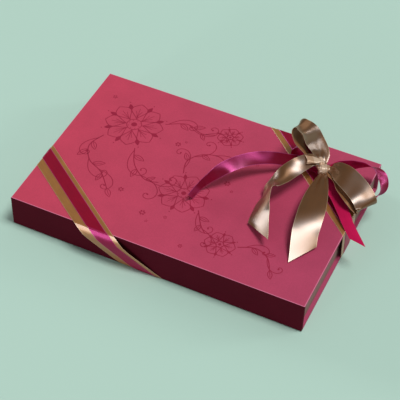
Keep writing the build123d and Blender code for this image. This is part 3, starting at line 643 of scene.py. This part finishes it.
# Each row: the middle of the ribbon (x, y, z) from the knot's foot on the lid, in REACH. Then the direction
# across the ribbon (x, y, z), and the share of its full width that it shows there
KNOT = Vector((104.0, 57.0, LID_TOP))
REACH = 100.0
bow = {
    "gold_loop_back": [
        (0.00, 0.01, 0.095, 0.60, 0.75, -0.25, 0.30),
        (-0.02, 0.06, 0.120, 0.60, 0.72, -0.30, 0.36),
        (-0.075, 0.135, 0.185, 0.62, 0.62, -0.42, 0.80),
        (-0.165, 0.165, 0.295, 0.42, 0.82, -0.35, 1.0),
        (-0.26, 0.165, 0.405, 0.20, 0.92, -0.30, 1.0),
        (-0.335, 0.16, 0.425, 0.02, 0.95, -0.31, 1.0),
        (-0.36, 0.13, 0.37, -0.05, 0.94, -0.33, 1.0),
        (-0.29, 0.11, 0.27, -0.05, 0.94, -0.33, 1.0),
        (-0.17, 0.09, 0.16, 0.05, 0.95, -0.30, 0.7),
        (-0.05, 0.05, 0.085, 0.30, 0.93, -0.20, 0.34),
        (0.00, 0.02, 0.065, 0.30, 0.93, -0.20, 0.30),
    ],
    "gold_loop_right": [
        (0.01, 0.02, 0.10, 0.35, 0.75, 0.50, 0.30),
        (0.05, 0.02, 0.13, 0.35, 0.75, 0.50, 0.34),
        (0.14, -0.03, 0.21, 0.20, 0.90, 0.30, 0.62),
        (0.27, -0.115, 0.236, 0.30, 0.92, 0.20, 0.93),
        (0.42, -0.195, 0.208, 0.46, 0.88, 0.12, 0.98),
        (0.516, -0.258, 0.168, 0.54, 0.84, 0.08, 0.96),
        (0.553, -0.283, 0.115, 0.54, 0.84, 0.02, 0.95),
        (0.505, -0.275, 0.076, 0.52, 0.84, -0.14, 0.93),
        (0.385, -0.273, 0.119, 0.45, 0.80, -0.38, 0.75),
        (0.252, -0.184, 0.143, 0.40, 0.80, -0.42, 0.60),
        (0.173, -0.134, 0.174, 0.36, 0.82, -0.35, 0.36),
        (0.02, 0.01, 0.105, 0.30, 0.85, 0.10, 0.30),
    ],
    "gold_tail_left": [
        (-0.01, 0.02, 0.09, 0.53, -0.84, 0.10, 0.30),
        (-0.05, 0.00, 0.19, 0.55, -0.80, -0.10, 0.36),
        (-0.105, -0.06, 0.243, 0.60, -0.74, -0.42, 0.50),
        (-0.175, -0.175, 0.25, 0.60, -0.72, -0.44, 0.62),
        (-0.248, -0.297, 0.226, 0.56, -0.78, -0.24, 0.70),
        (-0.303, -0.41, 0.189, 0.46, -0.84, 0.20, 0.82),
        (-0.338, -0.495, 0.167, 0.33, -0.84, 0.42, 0.95),
        (-0.343, -0.578, 0.148, 0.38, -0.62, 0.69, 1.0),
        (-0.34, -0.68, 0.124, 0.58, -0.47, 0.66, 1.0),
        (-0.312, -0.805, 0.10, 0.76, -0.35, 0.54, 1.0),
        (-0.275, -0.912, 0.082, 0.87, -0.28, 0.38, 0.94),
    ],
    "gold_tail_front": [
        (0.01, 0.00, 0.08, 0.93, 0.35, -0.05, 0.24),
        (0.03, -0.05, 0.12, 0.93, 0.35, 0.00, 0.26),
        (0.06, -0.20, 0.165, 0.94, 0.32, 0.10, 0.52),
        (0.09, -0.39, 0.183, 0.95, 0.28, 0.14, 0.85),
        (0.12, -0.56, 0.178, 0.95, 0.27, 0.08, 1.0),
        (0.14, -0.70, 0.160, 0.95, 0.27, -0.10, 1.0),
        (0.16, -0.84, 0.114, 0.95, 0.27, -0.27, 1.0),
        (0.195, -0.96, 0.058, 0.95, 0.27, -0.34, 1.0),
    ],
    "burgundy_loop_back": [
        (-0.02, 0.03, 0.08, 0.45, 0.85, 0.1, 0.5),
        (-0.07, 0.07, 0.10, 0.45, 0.85, 0.1, 0.7),
        (-0.15, 0.10, 0.16, 0.40, 0.87, 0.1, 1.0),
        (-0.22, 0.12, 0.205, 0.30, 0.92, 0.1, 1.0),
        (-0.29, 0.11, 0.22, 0.20, 0.95, 0.0, 1.0),
        (-0.33, 0.09, 0.18, 0.15, 0.95, 0.0, 1.0),
        (-0.32, 0.08, 0.115, 0.15, 0.95, 0.0, 1.0),
        (-0.25, 0.08, 0.07, 0.25, 0.95, 0.0, 1.0),
        (-0.14, 0.06, 0.045, 0.30, 0.92, 0.0, 0.8),
        (-0.04, 0.02, 0.035, 0.30, 0.92, 0.0, 0.5),
    ],
    "burgundy_loop_right": [
        (0.02, 0.01, 0.10, -0.39, 0.05, 0.92, 0.4),
        (0.07, 0.03, 0.125, -0.39, 0.05, 0.92, 0.6),
        (0.15, 0.06, 0.16, -0.37, -0.01, 0.93, 1.0),
        (0.24, 0.09, 0.19, -0.33, -0.10, 0.94, 1.0),
        (0.32, 0.12, 0.205, -0.23, -0.35, 0.91, 1.0),
        (0.40, 0.14, 0.21, -0.23, -0.58, 0.78, 1.0),
        (0.49, 0.14, 0.203, -0.36, -0.74, 0.54, 1.0),
        (0.566, 0.108, 0.163, -0.52, -0.81, 0.20, 0.90),
        (0.608, 0.045, 0.118, -0.40, -0.85, 0.32, 0.95),
        (0.60, -0.03, 0.075, -0.15, -0.85, 0.45, 1.0),
        (0.54, -0.09, 0.036, 0.10, -0.95, 0.25, 1.0),
        (0.43, -0.11, 0.022, 0.15, -0.97, 0.0, 1.0),
        (0.26, -0.08, 0.024, 0.15, -0.97, 0.0, 1.0),
        (0.11, -0.03, 0.05, 0.20, -0.90, 0.2, 0.6),
        (0.04, -0.02, 0.05, 0.20, -0.90, 0.2, 0.5),
    ],
    "burgundy_tail_left": [
        (-0.02, 0.02, 0.08, -0.60, 0.50, 0.64, 0.5),
        (-0.094, 0.06, 0.10, -0.60, 0.50, 0.64, 0.7),
        (-0.207, 0.038, 0.079, -0.18, 0.28, 0.94, 1.0),
        (-0.321, -0.055, 0.135, -0.22, 0.32, 0.92, 1.0),
        (-0.455, -0.155, 0.197, -0.22, 0.36, 0.90, 1.0),
        (-0.595, -0.255, 0.220, -0.45, 0.60, 0.66, 1.0),
        (-0.708, -0.380, 0.234, -0.60, 0.55, 0.54, 1.0),
        (-0.806, -0.520, 0.229, -0.62, 0.33, 0.66, 1.0),
        (-0.895, -0.638, 0.170, -0.38, -0.26, 0.86, 1.0),
        (-0.97, -0.72, 0.09, -0.22, -0.50, 0.82, 1.0),
        (-1.00, -0.84, 0.06, -0.22, -0.52, 0.82, 0.8),
    ],
    "burgundy_tail_front": [
        (0.03, -0.03, 0.065, 0.76, 0.61, 0.20, 0.4),
        (0.075, -0.08, 0.07, 0.76, 0.61, 0.20, 0.5),
        (0.152, -0.162, 0.075, 0.82, 0.55, 0.14, 0.95),
        (0.252, -0.262, 0.075, 0.82, 0.55, 0.12, 0.95),
        (0.363, -0.389, 0.062, 0.82, 0.55, 0.14, 0.90),
        (0.462, -0.507, 0.042, 0.84, 0.50, 0.20, 0.82),
        (0.555, -0.585, 0.0, 0.84, 0.48, 0.24, 0.78),
    ],
}
# How far each tail's two end corners run on (or, if negative, are cut back), in REACH. The second corner is
# the one that its direction across points to
tail_cuts = {
    "gold_tail_left": (-0.05, 0.20),
    "gold_tail_front": (0.18, -0.02),
    "burgundy_tail_left": (0.0, 0.03),
    "burgundy_tail_front": (0.0, 0.14),
}
# Rows of the mesh to each span between two rows of the table, and its columns
SPAN_STEPS = 8
BOW_COLUMNS = {"gold": 13, "burgundy": 9}
# Pieces whose upper surface is the satin's reverse
REVERSE_UP = (
    "gold_loop_back", "burgundy_loop_back", "burgundy_loop_right",
    "burgundy_tail_left", "burgundy_tail_front",
)
# Half waves of pleats across the ribbon where it is drawn together, and their depth
PLEATS = {"gold": 5, "burgundy": 3}
OWN_PLEATS = {"gold_tail_left": 1.5}
PLEAT_DEPTH = 1.1
# The ribbon's hollow across where it lies open
HOLLOW = 0.35
# Its soft waves: (strength, turn from row to row, turn across the ribbon, turn at the start). CRUMPLE
# is how far they lift it
WAVES = ((1.0, 0.55, 3.1, 0.0), (0.7, 0.23, -5.3, 1.0))
CRUMPLE = 0.05
OWN_CRUMPLE = {
    "gold_loop_back": 0.55, "gold_loop_right": 0.18, "gold_tail_left": 0.15, "burgundy_loop_right": 0.12,
}


def smooth_rows(rows, steps):
    """A smooth curve through rows of numbers, with this many steps to each span."""
    ends = [rows[0]] + rows + [rows[-1]]
    result = []
    for before, start, end, after in zip(ends, ends[1:], ends[2:], ends[3:]):
        for step in range(steps):
            t = step / steps
            weights = (
                (-t**3 + 2 * t**2 - t) / 2,
                (3 * t**3 - 5 * t**2 + 2) / 2,
                (-3 * t**3 + 4 * t**2 + t) / 2,
                (t**3 - t**2) / 2,
            )
            columns = zip(before, start, end, after)
            result.append([sum(w * v for w, v in zip(weights, four)) for four in columns])
    result.append(list(rows[-1]))
    return result


def bow_ribbon(name, stations):
    """A free length of ribbon: drawn together in pleats at the knot and slightly hollow across."""
    colour = name.split("_")[0]
    width = WIDTH[colour]
    rows = smooth_rows(stations, SPAN_STEPS)
    middles = [KNOT + Vector(row[:3]) * REACH for row in rows]
    cuts = [share * REACH for share in tail_cuts.get(name, (0, 0))]
    last = len(rows) - 1
    columns = BOW_COLUMNS[colour]
    pleats = OWN_PLEATS.get(name, PLEATS[colour])
    crumple = OWN_CRUMPLE.get(name, CRUMPLE)
    lower, upper = [], []
    for index, (middle, row) in enumerate(zip(middles, rows)):
        run = (middles[min(index + 1, last)] - middles[max(index - 1, 0)]).normalized()
        across = Vector(row[3:6])
        across = (across - run * across.dot(run)).normalized()
        face_out = run.cross(across)
        into_last = max(0, index - last + SPAN_STEPS) / SPAN_STEPS
        gather = max(0.0, 1.0 - row[6])
        # A tail's free half lies open, also where it shows less than its width
        if name in tail_cuts and index > last / 2:
            gather = 0.0
        low_row, high_row = [], []
        for c in range(columns):
            share = c / (columns - 1)
            side = (share - 0.5) * width * row[6]
            skew = cuts[0] * (1 - share) + cuts[1] * share
            pleat = gather * PLEAT_DEPTH * math.sin(share * math.pi * pleats)
            hollow = HOLLOW * (1 - (2 * share - 1) ** 2) * (1 - gather)
            wave = sum(
                strength * math.sin(index * along + share * over + start)
                for strength, along, over, start in WAVES
            )
            lift = pleat + hollow + crumple * wave
            place = middle + across * side + run * (skew * into_last) + face_out * lift
            low_row.append(place - face_out * RIBBON_THICKNESS / 2)
            high_row.append(place + face_out * RIBBON_THICKNESS / 2)
        lower.append(low_row)
        upper.append(high_row)
    return ribbon_solid(
        name + "_satin", [lower, upper], width, shaded_bow_looks[colour], "lid",
        reverse_looks[colour], name in REVERSE_UP,
    )


for name, stations in bow.items():
    piece = bow_ribbon(name, stations)
    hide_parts(name)


# Knot

# How late its turns are drawn in towards their ends, how deep their pleats are, and how far out on the
# axis the ends' middles lie
DRAW_POWER = 2.2
RIPPLE = 0.09
END_DEPTH = 0.72


def barrel(centre, axis, length, radii, pleats, twist, squeeze, flat=0.92, rings=17, around=40):
    """A gathered turn of ribbon: a barrel or cone, pleated and with its ends drawn in.

    Radii are those of its two ends before that, pleats the number of waves along it, twist the number
    round it, squeeze the share by which its ends are drawn in, and flat its height as a share of its depth.
    """
    centre = Vector(centre)
    axis = Vector(axis).normalized()
    side = axis.cross(Vector((0, 0, 1))).normalized()
    top = side.cross(axis).normalized()
    points, uvs, faces = [], [], []
    for i in range(rings):
        # From -1 at one end to 1 at the other
        s = i / (rings - 1) * 2 - 1
        draw = 1 - squeeze * abs(s) ** DRAW_POWER
        radius = radii[0] + (radii[1] - radii[0]) * (s + 1) / 2
        for j in range(around):
            angle = 2 * math.pi * j / around
            ripple = 1 + RIPPLE * math.sin(pleats * math.pi * s + twist * angle) * (1 - abs(s) ** 4)
            r = radius * draw * ripple
            offset = side * math.cos(angle) * r + top * math.sin(angle) * r * flat
            points.append(centre + axis * (s * length / 2) + offset)
            uvs.append((angle * radius * MM, s * length * MM))
    for i in range(rings - 1):
        for j in range(around):
            k = (j + 1) % around
            faces.append((i * around + j, i * around + k, (i + 1) * around + k, (i + 1) * around + j))
    # Each end is closed from its rim to a hub
    for ring_index in (0, rings - 1):
        s = -1 if ring_index == 0 else 1
        points.append(centre + axis * (s * length / 2 * END_DEPTH))
        uvs.append((0.0, 0.0))
        hub = len(points) - 1
        for j in range(around):
            a, b = ring_index * around + j, ring_index * around + (j + 1) % around
            faces.append((a, b, hub) if ring_index else (b, a, hub))
    return points, faces, uvs


def join_parts(parts):
    """The points, faces and UVs of several parts as those of one."""
    points, faces, uvs = [], [], []
    for part_points, part_faces, part_uvs in parts:
        base = len(points)
        points += part_points
        uvs += part_uvs
        faces += [tuple(base + i for i in face) for face in part_faces]
    return points, faces, uvs


knot_parts = [
    barrel((107.0, 56.3, 46.5), (0.90, 0.42, -0.12), 13.0, (6.6, 5.2), 3.0, 1.0, 0.30),
    barrel((100.8, 59.5, 48.5), (0.43, -0.90, -0.05), 17.0, (3.8, 4.2), 2.0, 1.0, 0.40),
    barrel((95.0, 51.2, 59.4), (-0.75, -0.58, 0.30), 16.0, (2.8, 6.6), 1.0, 3.0, 0.10, 0.42),
    barrel((106.0, 50.5, 44.0), (0.62, -0.72, -0.30), 10.0, (3.2, 1.8), 1.0, 1.0, 0.35),
]
points, faces, uvs = join_parts(knot_parts)
knot = mesh_piece("gold_knot_painted_highlight", points, faces, knot_highlight_look, "lid", True, uvs)
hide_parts("gold_knot")

# Print on the lid: a flowering vine, flat on the paper, in thin layers so that lines can cross

# The lowest layer's height, the step to the next and the number of layers
PRINT_HEIGHT = LID_TOP + 0.01
PRINT_STEP = 0.004
PRINT_LAYERS = 11
LINE = 0.75
print_points, print_faces, print_layer = [], [], [0]


def heading(angle):
    """The flat direction at an angle."""
    return Vector((math.cos(angle), math.sin(angle)))


def next_height():
    """The next line's height: lines that cross each other don't share one."""
    print_layer[0] = (print_layer[0] + 1) % PRINT_LAYERS
    return PRINT_HEIGHT + print_layer[0] * PRINT_STEP


def stroke(path, width, closed=False):
    """A printed line of even width along a path of flat points."""
    height = next_height()
    count = len(path)
    base = len(print_points)
    for index, place in enumerate(path):
        if closed:
            before, after = path[index - 1], path[(index + 1) % count]
        else:
            before, after = path[max(index - 1, 0)], path[min(index + 1, count - 1)]
        run = (after - before).normalized()
        side = Vector((-run.y, run.x)) * width / 2
        for point in (place - side, place + side):
            print_points.append((point.x, point.y, height))
    for index in range(count if closed else count - 1):
        a, b = base + index * 2, base + (index + 1) % count * 2
        print_faces.append((a, b, b + 1, a + 1))


def filled(path):
    """A printed shape, filled in."""
    height = next_height()
    base = len(print_points)
    print_points.extend((point.x, point.y, height) for point in path)
    print_faces.append(tuple(range(base, base + len(path))))


def ring(centre, radius, count=28):
    """A circle's points."""
    return [centre + heading(2 * math.pi * k / count) * radius for k in range(count)]


def leaf_outline(base, angle, length, width, fullest=0.45, count=9):
    """The closed outline of a leaf or petal, widest at a share of its length."""
    ahead, side = heading(angle), heading(angle + math.pi / 2)
    bend = math.log(0.5) / math.log(fullest)
    half = [math.sin(math.pi * (k / count) ** bend) * width / 2 for k in range(count + 1)]
    there = [base + ahead * (length * k / count) + side * half[k] for k in range(count)]
    back_again = [base + ahead * (length * k / count) - side * half[k] for k in range(count, 0, -1)]
    return there + back_again


def print_leaf(base, angle, length):
    """A leaf with its middle vein."""
    outline = leaf_outline(base, angle, length, length * 0.42)
    stroke(outline, LINE, True)
    stroke([base + heading(angle) * (length * k / 4) for k in range(4)], LINE * 0.8)


def print_tendril(base, angle, size, hand):
    """A stem that curls up into a spiral and ends in a dot."""
    path = [base]
    steps = 46
    # It turns more tightly, and in shorter steps, towards its end
    for step in range(steps):
        share = step / steps
        angle += hand * (0.03 + 0.26 * share)
        path.append(path[-1] + heading(angle) * (size * 0.085 * (1.15 - share)))
    stroke(path, LINE)
    filled(ring(path[-1], LINE * 1.3, 10))


def print_flower(centre, radius, petals, turn):
    """A rosette: petals with veins, a second row between them, and a dotted eye."""
    step = 2 * math.pi / petals
    for k in range(petals):
        # A petal with three veins
        angle = turn + k * step
        foot = centre + heading(angle) * radius * 0.26
        petal_width = radius * 1.45 * math.sin(step / 2)
        stroke(leaf_outline(foot, angle, radius * 0.74, petal_width, 0.62, 20), LINE, True)
        for lean, far in ((-0.16, 0.66), (0.0, 0.78), (0.16, 0.66)):
            vein = [
                centre + heading(angle + lean * share) * radius * (0.32 + (far - 0.32) * share)
                for share in (0.0, 0.25, 0.5, 0.75, 1.0)
            ]
            stroke(vein, LINE * 0.7)
        # A small petal between two dots, in the gap before the next
        gap = angle + step / 2
        tip = centre + heading(gap) * radius * 0.72
        filled(leaf_outline(tip, gap, radius * 0.3, radius * 0.15))
        filled(ring(centre + heading(gap) * radius * 1.1, LINE * 0.9, 8))
        filled(ring(centre + heading(gap) * radius * 0.2, LINE * 0.7, 8))
    stroke(ring(centre, radius * 0.25), LINE, True)
    filled(ring(centre, radius * 0.1, 14))


def print_sprig(centre, radius, petals):
    """A small scattered blossom, turned by an angle that goes with its size."""
    for k in range(petals):
        angle = 2 * math.pi * k / petals + radius
        foot = centre + heading(angle) * radius * 0.2
        filled(leaf_outline(foot, angle, radius * 0.8, radius * 0.55, 0.6))


def print_vine(controls, leaves, curls):
    """A stem through its control points, with leaves and curls: (share of its length, side, size)."""
    path = [Vector(row) for row in smooth_rows(controls, 10)]
    stroke(path, LINE * 1.3)

    def place_at(share):
        """The stem's point at a share of its length, and the angle at which it runs there."""
        index = int(share * (len(path) - 2))
        run = path[index + 1] - path[index]
        return path[index], math.atan2(run.y, run.x)

    for share, side, size in leaves:
        place, angle = place_at(share)
        print_leaf(place, angle + side * 0.9, size)
    for share, side, size in curls:
        place, angle = place_at(share)
        print_tendril(place, angle + side * 0.5, size, -side)


print_flower(Vector((-92, 42)), 30, 8, 0.2)
print_flower(Vector((-6, -22)), 25, 7, 0.6)
print_flower(Vector((52, -66)), 15, 6, 0.1)
print_flower(Vector((2, 68)), 13, 6, 0.5)
print_vine(
    [(-76, 12), (-66, -8), (-48, -22), (-34, -20)],
    [(0.2, 1, 13), (0.45, -1, 12), (0.75, 1, 10)],
    [(0.1, -1, 24), (0.6, 1, 22), (0.85, -1, 17)],
)
print_vine(
    [(16, -36), (26, -52), (34, -60)],
    [(0.3, 1, 11), (0.55, -1, 10)],
    [(0.15, -1, 19), (0.75, 1, 15)],
)
print_vine(
    [(-64, 56), (-44, 66), (-26, 60), (-13, 64)],
    [(0.25, -1, 12), (0.5, 1, 12), (0.7, -1, 10)],
    [(0.1, 1, 20), (0.4, -1, 21), (0.8, 1, 15)],
)
print_vine(
    [(-112, 15), (-118, -4), (-108, -22), (-90, -32), (-74, -50)],
    [(0.2, 1, 12), (0.35, -1, 13), (0.6, 1, 13), (0.8, -1, 11), (1.0, 0, 12)],
    [(0.12, -1, 18), (0.5, -1, 20), (0.72, 1, 19)],
)
print_vine(
    [(-18, 2), (-22, 18), (-14, 32), (2, 38), (16, 32)],
    [(0.3, 1, 11), (0.55, -1, 11), (1.0, 0, 11)],
    [(0.15, -1, 18), (0.42, -1, 19), (0.75, 1, 17)],
)
print_vine(
    [(68, -62), (84, -56), (98, -62), (106, -76)],
    [(0.3, -1, 10), (0.6, 1, 10), (1.0, 0, 10)],
    [(0.2, 1, 15), (0.7, -1, 14)],
)
for x, y, radius, petals in (
    (-40, 36, 3.2, 6), (-34, 42, 1.6, 5), (26, 8, 3.4, 6), (34, 0, 1.8, 5),
    (-62, -44, 3.0, 6), (-30, -62, 3.4, 6), (-22, -70, 1.7, 5), (-128, 70, 2.6, 5),
    (32, 52, 3.0, 6), (42, 44, 1.8, 5), (20, -84, 2.4, 6), (-8, -58, 2.0, 5),
):
    print_sprig(Vector((x, y)), radius, petals)
mesh_piece("lid_print", print_points, print_faces, print_look, "lid", False)

# Pad under the lid: flat above, and quilted below in slanting squares

# Metres of x + y, or of x - y, from one seam to the next
QUILT_STEP = 0.0255
# The smaller the power, the fuller the puffs
PUFF_POWER = 0.55
# The pad's thickness along a seam or its rim, as a share of the full one
SEAM_SHARE = 0.25
# Columns or rows over which its rim rises
RIM_STEPS = 3.0

low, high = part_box("lid_pad")
columns, rows = 150, 100
points, faces = [], []
for j in range(rows + 1):
    for i in range(columns + 1):
        x = low.x + (high.x - low.x) * i / columns
        y = low.y + (high.y - low.y) * j / rows
        u, v = (x + y) / QUILT_STEP, (x - y) / QUILT_STEP
        puff = (abs(math.sin(math.pi * u)) * abs(math.sin(math.pi * v))) ** PUFF_POWER
        rim = min(1.0, min(i, columns - i) / RIM_STEPS, min(j, rows - j) / RIM_STEPS)
        drop = (high.z - low.z) * (SEAM_SHARE + (1 - SEAM_SHARE) * puff * rim)
        points.append(Vector((x, y, high.z - drop)) / MM)
        points.append(Vector((x, y, high.z)) / MM)
stride = (columns + 1) * 2
for j in range(rows):
    for i in range(columns):
        a = j * stride + i * 2
        faces.append((a, a + stride, a + stride + 2, a + 2))
        faces.append((a + 1, a + 3, a + stride + 3, a + stride + 1))
for i in range(columns):
    a, b = i * 2, rows * stride + i * 2
    faces.append((a, a + 2, a + 3, a + 1))
    faces.append((b, b + 1, b + 3, b + 2))
for j in range(rows):
    a, b = j * stride, j * stride + columns * 2
    faces.append((a, a + 1, a + stride + 1, a + stride))
    faces.append((b, b + stride, b + stride + 1, b + 1))
pad = mesh_piece("quilted_pad", points, faces, looks["pad_paper"], "lid")
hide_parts("lid_pad")

# Floor, background and lamps

BACKDROP = srgb(180, 210, 196)
# The floor lies just below the ribbons under the case, and its ends are out of sight
FLOOR_HEIGHT = -0.66 * MM
FLOOR_REACH = 8.0


def seen_directly(tree):
    """1 for rays from the camera, off gloss or through film, and 0 for those that only carry light."""
    ray = tree.nodes.new("ShaderNodeLightPath")
    seen = ray.outputs["Is Camera Ray"]
    for kind in ("Is Glossy Ray", "Is Transmission Ray"):
        either = tree.nodes.new("ShaderNodeMath")
        either.operation = "MAXIMUM"
        tree.links.new(seen, either.inputs[0])
        tree.links.new(ray.outputs[kind], either.inputs[1])
        seen = either.outputs[0]
    return seen


# Seen as the backdrop, but the light that it gives back is plain grey
floor_look = Look("floor", Roughness=0.9, Specular_IOR_Level=0.0)
floor_look.colour(floor_look.mix(seen_directly(floor_look.tree), grey(0.5), BACKDROP))
floor_mesh = bpy.data.meshes.new("floor")
corners = ((-1, -1), (1, -1), (1, 1), (-1, 1))
floor_mesh.from_pydata(
    [(x * FLOOR_REACH, y * FLOOR_REACH, FLOOR_HEIGHT) for x, y in corners], [], [(0, 1, 2, 3)]
)
floor = bpy.data.objects.new("floor", floor_mesh)
scene.collection.objects.link(floor)
floor_mesh.materials.append(floor_look.mat)
floor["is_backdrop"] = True


def background(tree, colour, strength):
    node = tree.nodes.new("ShaderNodeBackground")
    node.inputs["Color"].default_value = colour
    node.inputs["Strength"].default_value = strength
    return node.outputs[0]


world = bpy.data.worlds.new("world")
scene.world = world
world.use_nodes = True
tree = world.node_tree
tree.nodes.clear()
world_out = tree.nodes.new("ShaderNodeOutputWorld")
choose = tree.nodes.new("ShaderNodeMixShader")
tree.links.new(seen_directly(tree), choose.inputs[0])
tree.links.new(background(tree, colour=(0.95, 0.97, 1.0, 1.0), strength=0.25), choose.inputs[1])
tree.links.new(background(tree, colour=BACKDROP, strength=0.3), choose.inputs[2])
tree.links.new(choose.outputs[0], world_out.inputs[0])


def sun(name, place, strength, spread):
    """A lamp that shines from a place towards the box. Its spread (degrees) softens its shadows."""
    data = bpy.data.lights.new(name, "SUN")
    data.energy = strength
    data.angle = math.radians(spread)
    lamp = bpy.data.objects.new(name, data)
    scene.collection.objects.link(lamp)
    lamp.location = place
    lamp.rotation_euler = (-Vector(place)).to_track_quat("-Z", "Y").to_euler()


sun("key", (0.34, 0.04, 0.94), 2.1, 20)
sun("left", (-0.94, 0.20, 0.22), 0.85, 16)
sun("front", (-0.28, -0.955, 0.10), 0.65, 10)
sun("right_back", (0.75, 0.57, 0.32), 0.45, 14)

# Bounds of everything shown but the floor

low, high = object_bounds()
